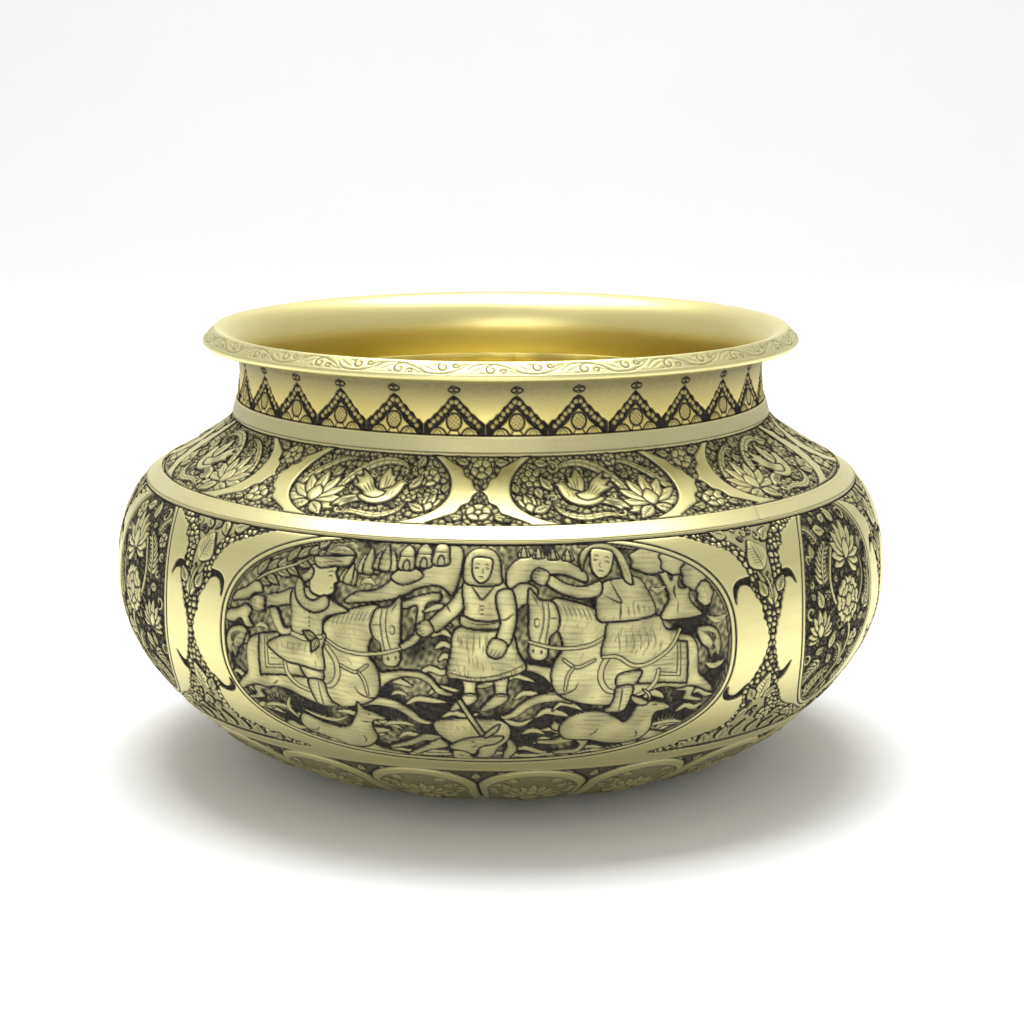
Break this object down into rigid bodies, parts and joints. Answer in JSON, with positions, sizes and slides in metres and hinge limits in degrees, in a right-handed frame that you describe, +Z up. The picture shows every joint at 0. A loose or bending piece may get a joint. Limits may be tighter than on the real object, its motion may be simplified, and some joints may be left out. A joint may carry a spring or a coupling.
{
  "type": "brass bowl",
  "caption": "Round-bellied chased brass bowl with a narrow neck, a flared turned-down lip and a flat-bottomed dished base.",
  "frame": {"origin": "centre of the flat face that the bowl stands on", "axes": "+Z up along the bowl's axis; the middle of the medallion that faces the viewer is towards -Y"},
  "size_m": [0.23, 0.23, 0.1304],
  "materials": {
    "chased_brass": "satin",
    "plain_brass": "brushed",
    "wire_brass": "satin",
    "braze_metal": "matt"
  },
  "bodies": {
    "root": {"base_pan": "chased_brass", "belly_wall": "chased_brass", "shoulder_ring": "chased_brass", "mouth_collar": "chased_brass", "rim_wire": "wire_brass", "belly_strap": "plain_brass", "neck_strap": "plain_brass", "base_braze": "braze_metal", "belly_braze": "braze_metal", "neck_braze": "braze_metal"}
  },
  "joints": []
}
